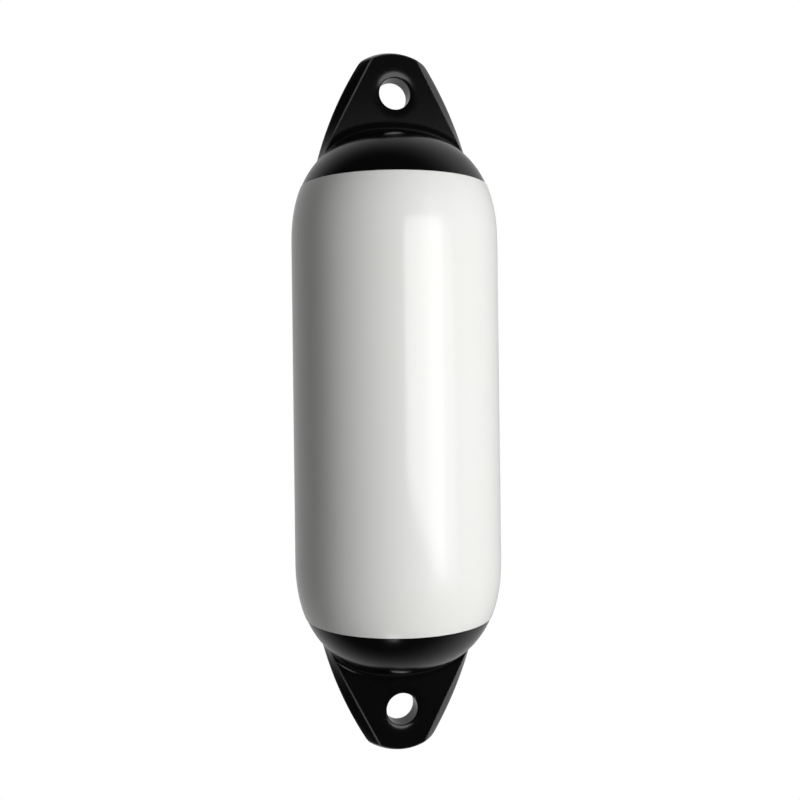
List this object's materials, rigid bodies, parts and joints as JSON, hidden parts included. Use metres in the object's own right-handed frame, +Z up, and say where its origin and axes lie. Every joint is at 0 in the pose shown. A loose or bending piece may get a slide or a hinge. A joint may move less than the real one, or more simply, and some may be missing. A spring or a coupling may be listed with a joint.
{
  "type": "pneumatic fender",
  "caption": "Inflatable cylindrical boat fender: white soft vinyl body with rounded shoulders, black moulded ends with rope eyes, and an inflation valve in the upper end.",
  "frame": {"origin": "centre of the upper rope eye, halfway between the ear's two faces", "axes": "+Z up the fender's long axis from the lower eye to the upper one, +Y through the rope eyes towards the back, where the valve is, +X across the ears"},
  "size_m": [0.16, 0.16, 0.543],
  "materials": {
    "white_vinyl": "glossy soft vinyl, blow moulded",
    "black_vinyl": "satin soft vinyl, injection moulded",
    "valve_nylon": "satin nylon",
    "valve_acetal": "semi-gloss acetal",
    "seal_rubber": "matt rubber"
  },
  "bodies": {
    "fender": {"body_shell": "white_vinyl", "top_end": "black_vinyl", "bottom_end": "black_vinyl", "valve_body": "valve_nylon"},
    "plug_lift": {"valve_seal_ring": "seal_rubber"},
    "plug": {"valve_screw": "valve_acetal"}
  },
  "joints": [
    {"name": "plug_rise", "type": "slide", "parent": "fender", "child": "plug_lift", "axis": [0, 0.46, 0.8879], "range_m": [0, 0.0045]},
    {"name": "plug_turn", "type": "hinge", "parent": "plug_lift", "child": "plug", "pos_m": [0, 0.042, -0.03883], "axis": [0, 0.46, 0.8879], "range_deg": [0, 1080]}
  ],
  "couplings": [
    {"joint": "plug_rise", "follows": "plug_turn", "m_per_rad": 0.00023873}
  ]
}
